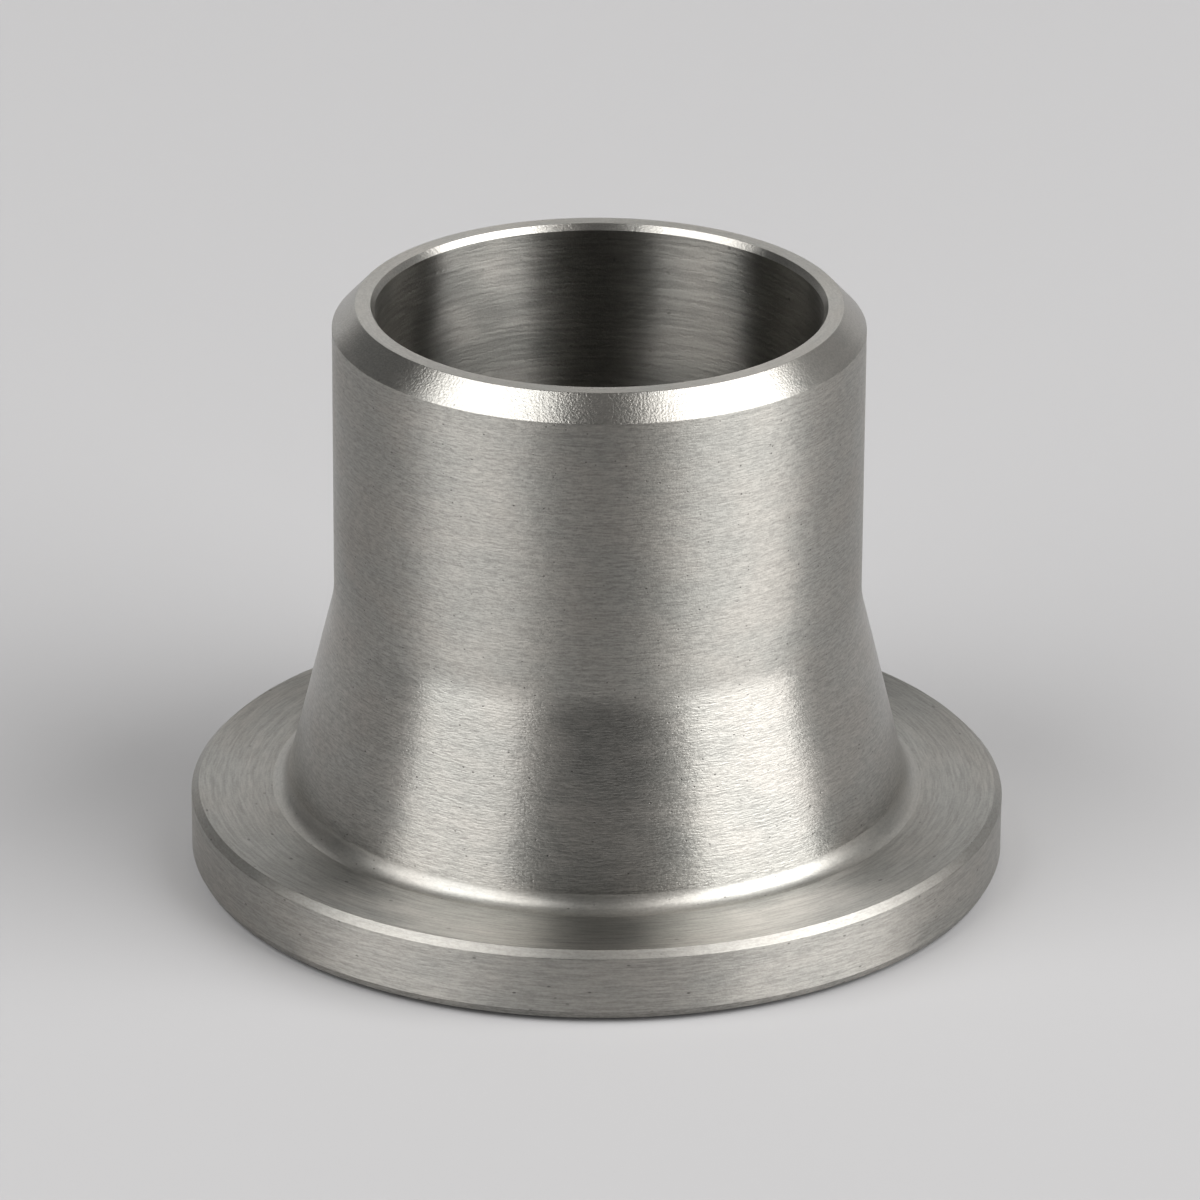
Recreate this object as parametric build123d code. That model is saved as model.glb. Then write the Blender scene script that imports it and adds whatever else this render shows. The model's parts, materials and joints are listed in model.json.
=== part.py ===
from build123d import *
import os

# Pipe stub end: a lap with a tapered hub and a neck, turned in one piece, with a weld bevel at the
# neck's end. A loose flange slides down the neck and bears on the back of the lap.
# All sizes are in mm. The origin is the centre of the gasket face, and +Z runs up the bore.

# Neck, which has the diameter and wall of the pipe it is welded to
pipe_diameter = 88.9
pipe_wall = 7.1
overall_length = 99.4

# Weld end: an outer bevel, a flat land and a broken inner edge
bevel_height = 4.0
land_width = 2.6
mouth_chamfer_width = 0.7
mouth_chamfer_height = 1.1

# Hub, which tapers from the lap's back up to the neck. At its root a hollow arc leaves the taper
# this high above the lap's back, and meets the back this far outside the taper's own line.
hub_base_diameter = 106.0
taper_length = 34.4
root_arc_height = 2.7
root_arc_flare = 2.2
neck_blend_radius = 15.0

# Lap, with its back above and a slightly raised gasket face below, which holds the lap's edge just
# off the ground. The thickness is from the gasket face to the back.
lap_diameter = 138.0
lap_thickness = 12.9
back_chamfer = 1.2
foot_chamfer_width = 0.7
foot_chamfer_height = 1.3
gasket_face_diameter = 130.0
gasket_face_height = 0.9

# Radii and heights that follow from the sizes above
neck_radius = pipe_diameter / 2
bore_radius = neck_radius - pipe_wall
land_inner_radius = bore_radius + mouth_chamfer_width
land_outer_radius = land_inner_radius + land_width
hub_base_radius = hub_base_diameter / 2
gasket_face_radius = gasket_face_diameter / 2
lap_radius = lap_diameter / 2
taper_top = lap_thickness + taper_length
taper_slope = (hub_base_radius - neck_radius) / taper_length
taper_foot = (hub_base_radius - taper_slope * root_arc_height, lap_thickness + root_arc_height)
bevel_foot = overall_length - bevel_height


def half_section():
    """The wall to the right of the axis: the outside from the taper's foot up to the bevel, the
    hollow root from there down to the lap's back, then the weld end, the bore, the gasket face and
    the lap's rim."""
    with BuildSketch(Plane.XZ) as section:
        with BuildLine():
            outside = FilletPolyline(
                taper_foot,
                (neck_radius, taper_top),
                (neck_radius, bevel_foot),
                radius=neck_blend_radius,
            )
            root = TangentArc(
                taper_foot,
                (hub_base_radius + root_arc_flare, lap_thickness),
                tangent=(taper_slope, -1),
            )
            Polyline(
                outside @ 1,
                (land_outer_radius, overall_length),
                (land_inner_radius, overall_length),
                (bore_radius, overall_length - mouth_chamfer_height),
                (bore_radius, 0),
                (gasket_face_radius, 0),
                (gasket_face_radius, gasket_face_height),
                (lap_radius - foot_chamfer_width, gasket_face_height),
                (lap_radius, gasket_face_height + foot_chamfer_height),
                (lap_radius, lap_thickness - back_chamfer),
                (lap_radius - back_chamfer, lap_thickness),
                root @ 1,
            )
        make_face()
    return section.sketch


stub_end = revolve(half_section(), axis=Axis.Z)

os.makedirs("parts", exist_ok=True)
export_step(stub_end, "parts/stub_end.step")
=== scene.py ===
import json
import math

import bpy
import numpy as np
from mathutils import Matrix, Vector


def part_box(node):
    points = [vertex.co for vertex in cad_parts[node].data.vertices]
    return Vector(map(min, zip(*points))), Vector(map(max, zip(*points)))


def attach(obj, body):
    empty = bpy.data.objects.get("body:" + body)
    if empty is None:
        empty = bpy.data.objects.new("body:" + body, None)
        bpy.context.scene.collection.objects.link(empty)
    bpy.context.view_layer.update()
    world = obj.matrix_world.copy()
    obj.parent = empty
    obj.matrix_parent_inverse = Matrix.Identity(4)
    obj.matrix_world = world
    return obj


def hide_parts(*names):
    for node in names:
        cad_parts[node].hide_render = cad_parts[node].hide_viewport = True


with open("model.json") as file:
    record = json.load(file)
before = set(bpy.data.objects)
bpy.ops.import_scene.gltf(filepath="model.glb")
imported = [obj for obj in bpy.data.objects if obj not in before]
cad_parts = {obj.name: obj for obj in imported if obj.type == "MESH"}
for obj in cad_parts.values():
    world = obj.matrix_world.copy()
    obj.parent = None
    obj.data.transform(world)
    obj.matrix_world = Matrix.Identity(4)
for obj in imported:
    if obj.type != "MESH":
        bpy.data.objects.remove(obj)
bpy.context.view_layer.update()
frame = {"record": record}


# Turned body
# One piece of stainless steel: a flat lap at the foot, a hub that tapers up to a straight neck, a
# weld bevel at the top and a bore right through. It was turned, faced and bored in a lathe, so
# every surface is round about Z.

MM = 0.001
low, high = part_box("stub_end")
mounts = {mount["name"]: mount for mount in frame["record"]["mounts"]}
lap_radius = min(high.x, high.y, -low.x, -low.y)
overall_length = high.z
bore_radius = mounts["bore"]["dims"]["r_mm"] * MM
neck_radius = mounts["neck"]["dims"]["r_mm"] * MM
lap_thickness = mounts["lap_back"]["pos_m"][2]
bevel_height = 4.0 * MM
land_width = 2.6 * MM
mouth_chamfer_width = 0.7 * MM
mouth_chamfer_height = 1.1 * MM
hub_base_radius = 53.0 * MM
taper_length = 34.4 * MM
neck_blend_radius = 15.0 * MM
root_arc_height = 2.7 * MM
root_arc_flare = 2.2 * MM
back_chamfer = 1.2 * MM
foot_chamfer_width = 0.7 * MM
foot_chamfer_height = 1.3 * MM
gasket_face_radius = 65.0 * MM
gasket_face_height = 0.9 * MM
land_inner_radius = bore_radius + mouth_chamfer_width
land_outer_radius = land_inner_radius + land_width
taper_top = lap_thickness + taper_length
# At the hub's root a hollow arc leaves the taper and meets the lap's back at root_end. Its two
# tangents cross at root_corner, as far from root_start as from root_end. Its radius is taken a hair
# small, so that a short straight is left at each end of it.
root_arc_share = 0.98
taper_slope = (hub_base_radius - neck_radius) / taper_length
root_start = Vector((hub_base_radius - taper_slope * root_arc_height, lap_thickness + root_arc_height))
root_end = Vector((hub_base_radius + root_arc_flare, lap_thickness))
root_chord = root_end - root_start
down_taper = Vector((taper_slope, -1.0)).normalized()
root_corner = root_start + down_taper * root_chord.length_squared / (2 * root_chord.dot(down_taper))
full_arc_radius = root_chord.length / (2 * math.sin(down_taper.angle(root_chord)))
root_arc_radius = root_arc_share * full_arc_radius
# Each corner of the section: radius from the axis, height, the rounding of the corner, and the
# surface that runs on from it
section_corners = [
    (land_inner_radius, overall_length, 0.12 * MM, "land"),
    (land_outer_radius, overall_length, 0.15 * MM, "bevel"),
    (neck_radius, overall_length - bevel_height, 0.18 * MM, "neck"),
    (neck_radius, taper_top, neck_blend_radius, "neck"),
    (root_corner.x, root_corner.y, root_arc_radius, "root"),
    (root_end.x, root_end.y, 0.12 * MM, "lap_back"),
    (lap_radius - back_chamfer, lap_thickness, 0.16 * MM, "back_chamfer"),
    (lap_radius, lap_thickness - back_chamfer, 0.18 * MM, "rim"),
    (lap_radius, gasket_face_height + foot_chamfer_height, 0.12 * MM, "foot_chamfer"),
    (lap_radius - foot_chamfer_width, gasket_face_height, 0.1 * MM, "relief"),
    (gasket_face_radius, gasket_face_height, 0.1 * MM, "relief"),
    (gasket_face_radius, 0.0, 0.1 * MM, "gasket_face"),
    (bore_radius, 0.0, 0.25 * MM, "bore"),
    (bore_radius, overall_length - mouth_chamfer_height, 0.1 * MM, "mouth_chamfer"),
]
run_step = 3.0 * MM
arc_step = math.radians(11.0)
turn_steps = 480


def rounded_section(corners):
    """The closed section as rows of (radius, height, outward radius part, outward height part), and
    the surface name of each stretch between rows. At a corner with unit edges a and b towards its
    neighbours and half angle h, the arc's centre lies rounding / sin(h) along a + b, and it touches
    the edges rounding / tan(h) from the corner. Arcs turn evenly and runs are divided evenly."""
    points = [Vector(corner[:2]) for corner in corners]
    count = len(corners)
    arcs = []
    for i, (_, _, rounding, _) in enumerate(corners):
        before = (points[i - 1] - points[i]).normalized()
        after = (points[(i + 1) % count] - points[i]).normalized()
        half = before.angle(after) / 2
        centre = points[i] + (before + after).normalized() * rounding / math.sin(half)
        start = points[i] + before * rounding / math.tan(half)
        end = points[i] + after * rounding / math.tan(half)
        first = math.atan2(*reversed(start - centre))
        turn = (math.atan2(*reversed(end - centre)) - first + math.pi) % (2 * math.pi) - math.pi
        # The section runs clockwise, so a left turn is a hollow corner, whose arc faces its centre
        facing = 1 if turn < 0 else -1
        angles = first + turn * np.linspace(0, 1, max(2, math.ceil(abs(turn) / arc_step)) + 1)
        out = np.stack([np.cos(angles), np.sin(angles)], axis=1)
        arcs.append((np.array(centre) + rounding * out, facing * out))
    rows, names = [], []
    for i, (_, _, _, surface) in enumerate(corners):
        spots, normals = arcs[i]
        steps = len(spots) - 1
        rows.append(np.hstack([spots, normals]))
        following = arcs[(i + 1) % count][0][0]
        run = np.linalg.norm(following - spots[-1])
        run_steps = max(1, math.ceil(run / run_step))
        share = np.linspace(0, 1, run_steps + 1)[1:-1, None]
        between = spots[-1] + share * (following - spots[-1])
        rows.append(np.hstack([between, np.repeat(normals[-1:], len(between), axis=0)]))
        names += [surface] * (steps + run_steps)
    return np.vstack(rows), names


def turned_mesh(name, rows, surfaces, materials):
    """A section carried once round Z: point (turn, row) is (r cos turn, r sin turn, z). Its normal is
    the section's own, turned with it. section_mm is the length along the section from its start, and
    wrap is the share of the turn and of that length. Both are kept for each face's own corners, so
    that they run on to the end where the section closes."""
    count = len(rows)
    turns = np.linspace(0, 2 * math.pi, turn_steps, endpoint=False)
    cos, sin = np.cos(turns)[:, None], np.sin(turns)[:, None]
    radius, height, out, up = rows.T
    spots = np.stack([cos * radius, sin * radius, np.broadcast_to(height, (turn_steps, count))], axis=2)
    normals = np.stack([cos * out, sin * out, np.broadcast_to(up, (turn_steps, count))], axis=2)
    here = np.arange(turn_steps)[:, None] * count + np.arange(count)
    there = np.roll(here, -1, axis=0)
    faces = np.stack([here, np.roll(here, -1, axis=1), np.roll(there, -1, axis=1), there], axis=2)
    mesh = bpy.data.meshes.new(name)
    mesh.from_pydata(spots.reshape(-1, 3), [], faces.reshape(-1, 4))
    for material in materials.values():
        mesh.materials.append(material)
    slots = [list(materials).index(surface) for surface in surfaces]
    mesh.polygons.foreach_set("material_index", np.tile(slots, turn_steps).astype(np.int32))
    mesh.polygons.foreach_set("use_smooth", np.ones(len(mesh.polygons), bool))
    mesh.normals_split_custom_set_from_vertices(normals.reshape(-1, 3))
    following = np.vstack([rows[1:], rows[:1]])
    along = np.concatenate([[0], np.cumsum(np.hypot(*(following - rows)[:, :2].T))])
    face_along = np.stack([along[:-1], along[1:], along[1:], along[:-1]], axis=1)
    face_along = np.broadcast_to(face_along, (turn_steps, count, 4))
    section = mesh.attributes.new("section_mm", "FLOAT", "CORNER")
    section.data.foreach_set("value", (face_along / MM).reshape(-1))
    wrap = mesh.uv_layers.new(name="wrap")
    u = np.stack([np.arange(turn_steps)[:, None] / turn_steps + np.zeros(count)] * 4, axis=2)
    u[:, :, 2:] += 1 / turn_steps
    wrap.data.foreach_set("uv", np.stack([u, face_along / along[-1]], axis=3).reshape(-1))
    mesh.validate()
    mesh.update()
    return mesh


def add_node(tree, kind, **settings):
    """A node in a tree. A setting sets the property of that name, or else the input: a node's output
    is linked to it, and anything else becomes its value. Inputs are named with _ for a space, or
    in_0, in_1 and so on by their order."""
    node = tree.nodes.new(kind)
    properties = {key for key in settings if key in node.bl_rna.properties}
    for key in properties:
        setattr(node, key, settings[key])
    for key, value in settings.items():
        if key in properties:
            continue
        by_order = key.startswith("in_")
        socket = node.inputs[int(key[3:]) if by_order else key.replace("_", " ")]
        if isinstance(value, bpy.types.NodeSocket):
            tree.links.new(value, socket)
        else:
            socket.default_value = value
    return node


def math_node(tree, operation, *values):
    """The output of a Math node on these values or outputs."""
    inputs = {f"in_{i}": value for i, value in enumerate(values)}
    return add_node(tree, "ShaderNodeMath", operation=operation, **inputs).outputs[0]


def ramp(tree, value, start, end, low_value=0.0, high_value=1.0):
    """value carried smoothly from start..end to low_value..high_value."""
    settings = dict(interpolation_type="SMOOTHSTEP", Value=value, From_Min=start, From_Max=end)
    return add_node(tree, "ShaderNodeMapRange", To_Min=low_value, To_Max=high_value, **settings).outputs[0]


def build_cut_marks():
    """The marks that the tool, the brush and handling leave, as values over the surface. Its place
    along the turn is the unit vector (x, y) / r, and its place across is section_mm. Lengths and
    pitches are in mm, and the lengths hold where the wall is marked_radius from the axis."""
    marked_radius = 45.0
    ripple_cell = (1.3, 0.9)
    ripple_depth = 1.2
    grain_cell = (0.45, 0.36)
    ring_length = 25.0
    cloud_cell = (14.0, 9.0)
    pit_stretch = 1.3
    pit_edge = (0.05, 0.14)
    pit_chance = (0.3, 0.8)
    noise_range = (0.3, 0.7)
    tree = bpy.data.node_groups.new("cut marks", "ShaderNodeTree")
    lengths = {"Dash Length": 1.6, "Dash Pitch": 0.4, "Ring Pitch": 1.0, "Pit Spacing": 1.6}
    for name, default in lengths.items():
        socket = tree.interface.new_socket(name, in_out="INPUT", socket_type="NodeSocketFloat")
        socket.default_value = default
    for name in ("Dashes", "Grain", "Rings", "Pits", "Clouds"):
        tree.interface.new_socket(name, in_out="OUTPUT", socket_type="NodeSocketFloat")
    given = tree.nodes.new("NodeGroupInput").outputs
    results = tree.nodes.new("NodeGroupOutput").inputs
    place = add_node(tree, "ShaderNodeTexCoord").outputs["Object"]
    flat = add_node(tree, "ShaderNodeVectorMath", operation="MULTIPLY", in_0=place, in_1=(1, 1, 0))
    turn = add_node(tree, "ShaderNodeVectorMath", operation="NORMALIZE", in_0=flat.outputs[0]).outputs[0]
    across = add_node(tree, "ShaderNodeAttribute", attribute_name="section_mm").outputs["Fac"]

    def stretched(length, pitch, shift=0.0):
        """The place on the wall in cells of this length along the turn and this pitch across."""
        cells = math_node(tree, "DIVIDE", marked_radius, length)
        round_part = add_node(tree, "ShaderNodeVectorMath", operation="SCALE", in_0=turn, Scale=cells)
        rows = math_node(tree, "ADD", math_node(tree, "DIVIDE", across, pitch), shift)
        up_part = add_node(tree, "ShaderNodeCombineXYZ", Z=rows)
        settings = dict(operation="ADD", in_0=round_part.outputs[0], in_1=up_part.outputs[0])
        return add_node(tree, "ShaderNodeVectorMath", **settings).outputs[0]

    def noise(vector, detail, roughness=0.5):
        """Perlin noise from 0 to 1 over that place."""
        settings = dict(Vector=vector, Scale=1.0, Detail=detail, Roughness=roughness)
        return add_node(tree, "ShaderNodeTexNoise", **settings).outputs[0]

    def spread(value):
        """Noise, most of which lies in noise_range, spread from 0 to 1."""
        return ramp(tree, value, *noise_range)

    ripple = math_node(tree, "MULTIPLY", noise(stretched(*ripple_cell), detail=1.0), ripple_depth)
    dash_place = stretched(given["Dash Length"], given["Dash Pitch"], ripple)
    dashes = noise(dash_place, detail=1.0, roughness=0.6)
    tree.links.new(spread(dashes), results["Dashes"])
    grain = noise(stretched(*grain_cell), detail=1.0, roughness=0.7)
    tree.links.new(spread(grain), results["Grain"])
    rings = noise(stretched(ring_length, given["Ring Pitch"]), detail=3.0, roughness=0.65)
    tree.links.new(spread(rings), results["Rings"])
    pit_length = math_node(tree, "MULTIPLY", given["Pit Spacing"], pit_stretch)
    pit_place = stretched(pit_length, given["Pit Spacing"])
    pit_cells = add_node(tree, "ShaderNodeTexVoronoi", Vector=pit_place, Scale=1.0).outputs
    near = ramp(tree, pit_cells["Distance"], *pit_edge, 1.0, 0.0)
    chance = add_node(tree, "ShaderNodeSeparateColor", Color=pit_cells["Color"]).outputs[0]
    pits = math_node(tree, "MULTIPLY", near, ramp(tree, chance, *pit_chance))
    tree.links.new(pits, results["Pits"])
    clouds = noise(stretched(*cloud_cell), detail=3.0)
    tree.links.new(spread(clouds), results["Clouds"])
    return tree


cut_marks = build_cut_marks()
steel_colour = (0.41, 0.402, 0.374)
# The clouds carry the colour a little towards pink and change the roughness by this much
pink_tint = (1.015, 0.99, 0.98)
cloud_roughness = 0.06
# The hub was finished finer than the neck, and the finish goes over from one to the other this far
# above and below the taper's top
finish_overlap = 5 * MM


def steel(name, shade, roughness, brushing, marks, depths, bump_um, hub_roughness=None):
    """Stainless steel as cut, shade times as bright as steel_colour. A shade above 1 is painted light
    and one below 1 is painted shade. marks are the four lengths of the cut marks in mm. depths are
    how far dashes, grain, rings, pits and clouds change it, as shares of its colour, and bump_um how
    deep the first four are cut, in micrometres. brushing is the anisotropy, blurred across the cut.
    Below the taper's top the roughness goes over to hub_roughness, if that is given."""
    material = bpy.data.materials.new(name)
    material.use_nodes = True
    tree = material.node_tree
    shader = tree.nodes["Principled BSDF"]
    shader.inputs["Metallic"].default_value = 1.0
    # The tangent runs along the cut, and a quarter turn lays the blur across it
    shader.inputs["Anisotropic"].default_value = brushing
    shader.inputs["Anisotropic Rotation"].default_value = 0.25
    group = add_node(tree, "ShaderNodeGroup", node_tree=cut_marks)
    for socket, value in zip(group.inputs, marks):
        socket.default_value = value
    dashes, grain, rings, pits, clouds = group.outputs
    # Pits only darken. The other marks lighten as much as they darken.
    light = 1.0
    for value, depth in zip(group.outputs, depths):
        if value == pits:
            light = math_node(tree, "MULTIPLY_ADD", value, -depth, light)
        else:
            shift = math_node(tree, "SUBTRACT", value, 0.5)
            light = math_node(tree, "MULTIPLY_ADD", shift, depth, light)
    plain = [channel * shade for channel in steel_colour]
    pink = [channel * tint for channel, tint in zip(plain, pink_tint)]
    mixed = tree.nodes.new("ShaderNodeMix")
    mixed.data_type = "RGBA"
    tree.links.new(clouds, mixed.inputs["Factor"])
    mixed.inputs["A"].default_value = plain + [1]
    mixed.inputs["B"].default_value = pink + [1]
    settings = dict(operation="SCALE", in_0=mixed.outputs["Result"], Scale=light)
    colour = add_node(tree, "ShaderNodeVectorMath", **settings)
    tree.links.new(colour.outputs[0], shader.inputs["Base Color"])
    if hub_roughness is not None:
        place = add_node(tree, "ShaderNodeTexCoord").outputs["Object"]
        up = add_node(tree, "ShaderNodeSeparateXYZ", in_0=place).outputs["Z"]
        start, end = taper_top - finish_overlap, taper_top + finish_overlap
        roughness = ramp(tree, up, start, end, hub_roughness, roughness)
    cloud_shift = math_node(tree, "SUBTRACT", clouds, 0.5)
    rough = math_node(tree, "MULTIPLY_ADD", cloud_shift, cloud_roughness, roughness)
    tree.links.new(rough, shader.inputs["Roughness"])
    height = math_node(tree, "MULTIPLY", dashes, bump_um[0])
    height = math_node(tree, "MULTIPLY_ADD", grain, bump_um[1], height)
    height = math_node(tree, "MULTIPLY_ADD", rings, bump_um[2], height)
    height = math_node(tree, "MULTIPLY_ADD", pits, -bump_um[3], height)
    bump = add_node(tree, "ShaderNodeBump", Strength=1.0, Distance=1e-6, Height=height)
    tree.links.new(bump.outputs[0], shader.inputs["Normal"])
    tangent = add_node(tree, "ShaderNodeTangent", direction_type="UV_MAP", uv_map="wrap")
    tree.links.new(tangent.outputs[0], shader.inputs["Tangent"])
    return material


brushed = steel(
    "brushed neck steel",
    shade=1.0,
    roughness=0.48,
    brushing=0.85,
    marks=(1.7, 0.25, 0.5, 1.3),
    depths=(0.26, 0.14, 0.12, 0.6, 0.08),
    bump_um=(12, 8, 4, 20),
    hub_roughness=0.32,
)
bright_cut = steel(
    "bright bevel steel",
    shade=1.0,
    roughness=0.31,
    brushing=0.6,
    marks=(1.5, 0.4, 0.6, 1.4),
    depths=(0.06, 0.16, 0.06, 0.4, 0.08),
    bump_um=(3, 12, 2, 10),
)
# Rougher than the bevel, and its colour darkened to 0.9 as painted shade
dull_cut_painted_shade = steel(
    "dull chamfer steel",
    shade=0.9,
    roughness=0.46,
    brushing=0.5,
    marks=(1.5, 0.4, 0.6, 1.4),
    depths=(0.1, 0.12, 0.08, 0.4, 0.08),
    bump_um=(4, 6, 3, 10),
)
# The colour is brightened 1.28 times: painted light, for the pale wall that the flat land reflects
land_steel_painted_light = steel(
    "sawn land steel",
    shade=1.28,
    roughness=0.42,
    brushing=0.6,
    marks=(2.0, 0.35, 0.5, 1.4),
    depths=(0.1, 0.1, 0.08, 0.3, 0.06),
    bump_um=(4, 4, 3, 10),
)
root_steel = steel(
    "hollow root steel",
    shade=1.0,
    roughness=0.39,
    brushing=0.6,
    marks=(1.5, 0.4, 0.6, 1.4),
    depths=(0.1, 0.1, 0.08, 0.4, 0.08),
    bump_um=(4, 5, 3, 10),
)
# The colour is darkened to 0.82: painted shade inside the bore
bored = steel(
    "bored steel",
    shade=0.82,
    roughness=0.34,
    brushing=0.97,
    marks=(9.0, 0.7, 0.6, 3.0),
    depths=(0.2, 0.1, 0.14, 0.3, 0.0),
    bump_um=(20, 4, 6, 12),
)
faced = steel(
    "faced lap steel",
    shade=1.0,
    roughness=0.44,
    brushing=0.93,
    marks=(4.0, 0.4, 0.7, 2.4),
    depths=(0.2, 0.1, 0.14, 0.35, 0.1),
    bump_um=(8, 3, 6, 12),
)
# The colour is darkened to 0.95: painted shade
rim_steel_painted_shade = steel(
    "turned rim steel",
    shade=0.95,
    roughness=0.44,
    brushing=0.85,
    marks=(2.0, 0.3, 0.5, 1.6),
    depths=(0.22, 0.12, 0.12, 0.5, 0.12),
    bump_um=(11, 7, 5, 20),
)
# The colour is darkened to 0.68: painted shade, for the shadow under the lap that the chamfer faces
foot_steel_painted_shade = steel(
    "foot chamfer steel",
    shade=0.68,
    roughness=0.44,
    brushing=0.85,
    marks=(1.8, 0.36, 0.8, 1.6),
    depths=(0.3, 0.2, 0.12, 0.5, 0.12),
    bump_um=(10, 6, 6, 20),
)
# The colour is darkened to 0.3: painted shade in the gap under the lap's edge, which deepens the contact
# shadow there
relief_steel_painted_shade = steel(
    "dark relief steel",
    shade=0.3,
    roughness=0.5,
    brushing=0.6,
    marks=(2.0, 0.4, 0.6, 1.6),
    depths=(0.1, 0.1, 0.08, 0.3, 0.06),
    bump_um=(4, 4, 3, 10),
)
body_materials = {
    "land": land_steel_painted_light,
    "bevel": bright_cut,
    "neck": brushed,
    "root": root_steel,
    "lap_back": faced,
    "back_chamfer": dull_cut_painted_shade,
    "rim": rim_steel_painted_shade,
    "foot_chamfer": foot_steel_painted_shade,
    "relief": relief_steel_painted_shade,
    "gasket_face": faced,
    "bore": bored,
    "mouth_chamfer": bright_cut,
}
section_rows, section_surfaces = rounded_section(section_corners)
body_mesh = turned_mesh("turned_body", section_rows, section_surfaces, body_materials)
turned_body = bpy.data.objects.new("turned_body", body_mesh)
bpy.context.scene.collection.objects.link(turned_body)
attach(turned_body, "root")
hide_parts("stub_end")


# Floor
# A plain pale board that the part stands on, covered with matt paper and large enough to fill
# every view.

floor_reach = 9.0
floor_colour = (0.48, 0.4745, 0.477, 1)


def flat_quad(name, corners):
    """An object of one face through four corners."""
    mesh = bpy.data.meshes.new(name)
    mesh.from_pydata(corners, [], [range(4)])
    piece = bpy.data.objects.new(name, mesh)
    bpy.context.scene.collection.objects.link(piece)
    return piece


floor_sides = ((-1, -1), (1, -1), (1, 1), (-1, 1))
floor = flat_quad("floor", [(x * floor_reach, y * floor_reach, 0) for x, y in floor_sides])
paper = bpy.data.materials.new("matt paper")
paper.use_nodes = True
paper_shader = paper.node_tree.nodes["Principled BSDF"]
paper_shader.inputs["Base Color"].default_value = floor_colour
paper_shader.inputs["Roughness"].default_value = 0.9
paper_shader.inputs["Specular IOR Level"].default_value = 0.2
floor.data.materials.append(paper)


# Studio light
# Two tall soft panels in front, the right one brighter, and a low wide one high on the left, in a
# dim room with a pale wall behind the part and grey ones beside that. Only reflections see the dark
# cloth on the floor on the camera's side, which keeps the hub's middle dark.

panel_distance = 5.0


def panel(name, azimuth, elevation, lean, wide, tall, brightness):
    """A soft panel that faces the part. azimuth is to the right of the camera's side, wide and tall
    are the angles that it fills, lean turns it in its own plane, and brightness is what the panel
    itself looks like, so its power is brightness * pi * area."""
    light = bpy.data.lights.new(name, "AREA")
    light.shape = "RECTANGLE"
    light.size = 2 * panel_distance * math.tan(math.radians(wide / 2))
    light.size_y = 2 * panel_distance * math.tan(math.radians(tall / 2))
    light.energy = brightness * math.pi * light.size * light.size_y
    lamp = bpy.data.objects.new(name, light)
    a, e = math.radians(azimuth), math.radians(elevation)
    out = Vector((math.sin(a) * math.cos(e), -math.cos(a) * math.cos(e), math.sin(e)))
    leaned = Matrix.Rotation(math.radians(lean), 4, "Z")
    turned = out.to_track_quat("Z", "Y").to_matrix().to_4x4() @ leaned
    lamp.matrix_world = Matrix.Translation(out * panel_distance) @ turned
    lamp.visible_camera = False
    bpy.context.scene.collection.objects.link(lamp)


panel("right panel", azimuth=67, elevation=35, lean=-12, wide=50, tall=58, brightness=5.0)
panel("left panel", azimuth=-58, elevation=35, lean=12, wide=46, tall=58, brightness=2.9)
panel("high left panel", azimuth=-60, elevation=57, lean=0, wide=40, tall=16, brightness=2.0)
world = bpy.data.worlds.new("dim room")
world.use_nodes = True
world.node_tree.nodes["Background"].inputs["Color"].default_value = (0.04, 0.04, 0.04, 1)
bpy.context.scene.world = world


def matt(name, grey):
    """A plain rough grey material."""
    material = bpy.data.materials.new(name)
    material.use_nodes = True
    shader = material.node_tree.nodes["Principled BSDF"]
    shader.inputs["Base Color"].default_value = (grey, grey, grey, 1)
    shader.inputs["Roughness"].default_value = 0.95
    return material


wall_radius = 3.4
wall_height = 3.0
wall_edges = 25


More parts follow.
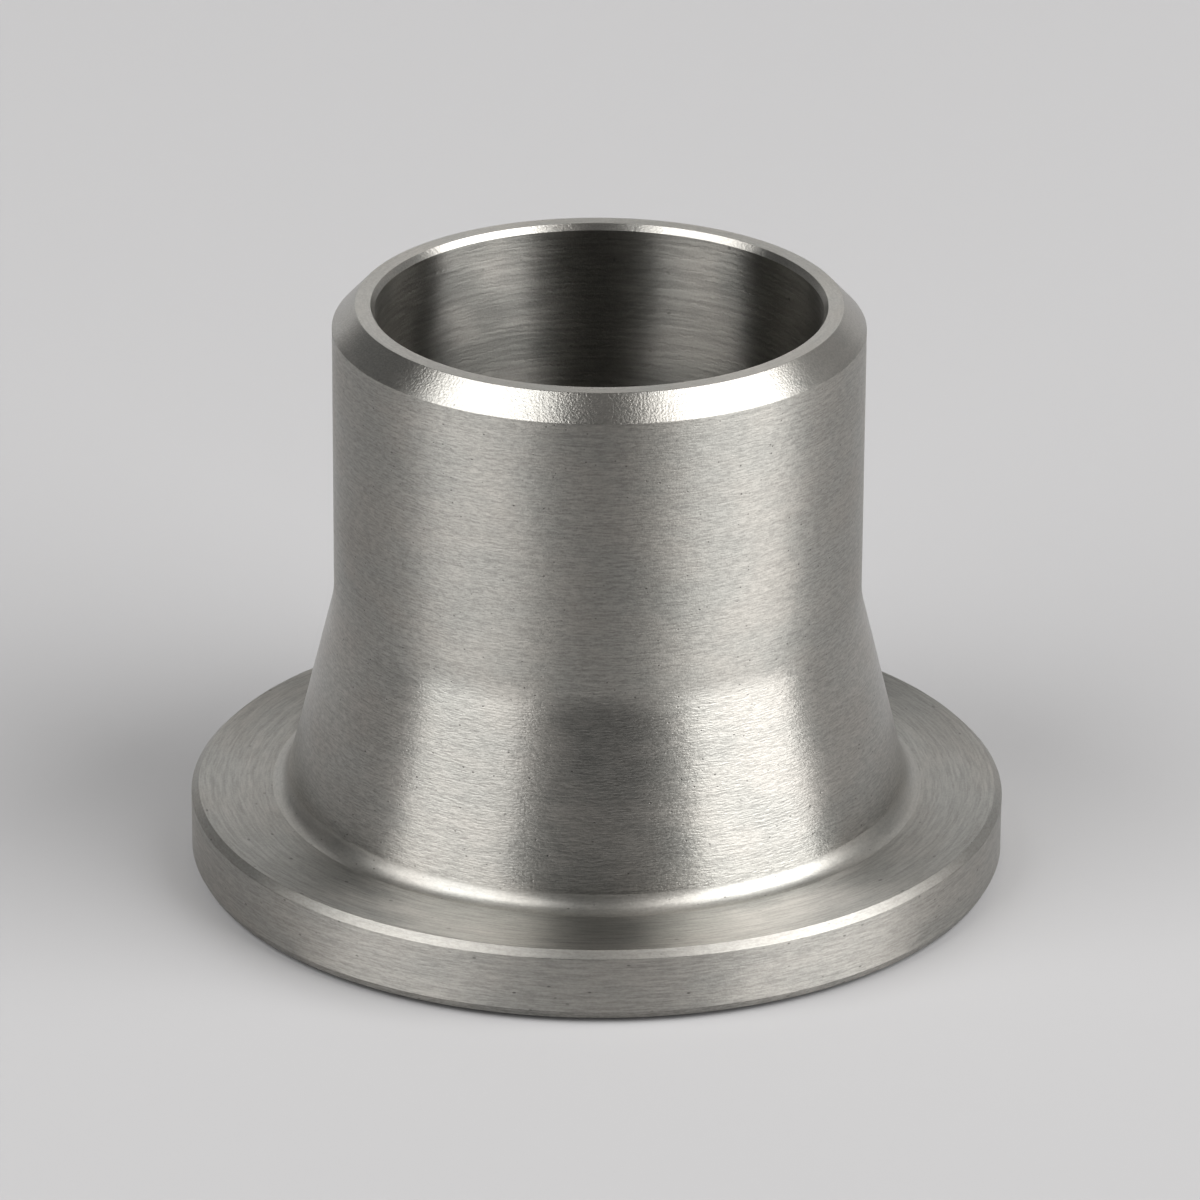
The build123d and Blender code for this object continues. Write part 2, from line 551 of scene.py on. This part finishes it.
def curved_wall(name, start, end, grey):
    """A wall bent round the part from one angle to the other, counted in degrees from +X towards
    +Y: point (turn, level) is (radius cos turn, radius sin turn, level)."""
    turns = np.radians(np.linspace(start, end, wall_edges))[:, None]
    foot = np.hstack([wall_radius * np.cos(turns), wall_radius * np.sin(turns), 0 * turns])
    row = np.arange(wall_edges - 1)
    faces = np.stack([row + 1, row, row + wall_edges, row + wall_edges + 1], axis=1)
    mesh = bpy.data.meshes.new(name)
    mesh.from_pydata(np.vstack([foot, foot + (0, 0, wall_height)]), [], faces)
    mesh.materials.append(matt(name, grey))
    wall = bpy.data.objects.new(name, mesh)
    bpy.context.scene.collection.objects.link(wall)


curved_wall("pale_back_wall", start=55, end=125, grey=0.64)
curved_wall("grey_right_wall", start=15, end=55, grey=0.33)
curved_wall("grey_left_wall", start=125, end=160, grey=0.14)

# The cloth is narrow beside the part and wide at its far end
cloth_lift = 0.001
cloth_near_y, cloth_near_half = -0.2, 0.08
cloth_far_y, cloth_far_half = -1.0, 0.5
cloth_corners = [
    (-cloth_near_half, cloth_near_y, cloth_lift),
    (cloth_near_half, cloth_near_y, cloth_lift),
    (cloth_far_half, cloth_far_y, cloth_lift),
    (-cloth_far_half, cloth_far_y, cloth_lift),
]
dark_cloth = flat_quad("dark_floor_cloth", cloth_corners)
dark_cloth.data.materials.append(matt("dark cloth", 0.03))
dark_cloth.visible_camera = False
dark_cloth.visible_diffuse = False
dark_cloth.visible_shadow = False
dark_cloth.visible_transmission = False


# Camera
# A long lens in front of the part, a little above it and level but for a slight roll. It looks at
# a point near the middle of the part's height.

lens_mm = 232.696
sensor_mm = 36.0
camera_distance = 1.308553
look_down = math.radians(23.1514)
roll = math.radians(0.3390)
aim = Vector((0.00037965, 0.0, 0.045748))
camera_data = bpy.data.cameras.new("camera")
camera_data.lens = lens_mm
camera_data.sensor_width = sensor_mm
camera_data.clip_start = 0.05
camera_data.clip_end = 30.0
camera = bpy.data.objects.new("camera", camera_data)
back = Vector((0, -math.cos(look_down), math.sin(look_down)))
upright = Matrix.Rotation(math.pi / 2 - look_down, 4, "X")
rolled = Matrix.Rotation(roll, 4, "Z")
camera.matrix_world = Matrix.Translation(aim + back * camera_distance) @ upright @ rolled
bpy.context.scene.collection.objects.link(camera)
bpy.context.scene.camera = camera
bpy.context.scene.view_settings.view_transform = "Standard"
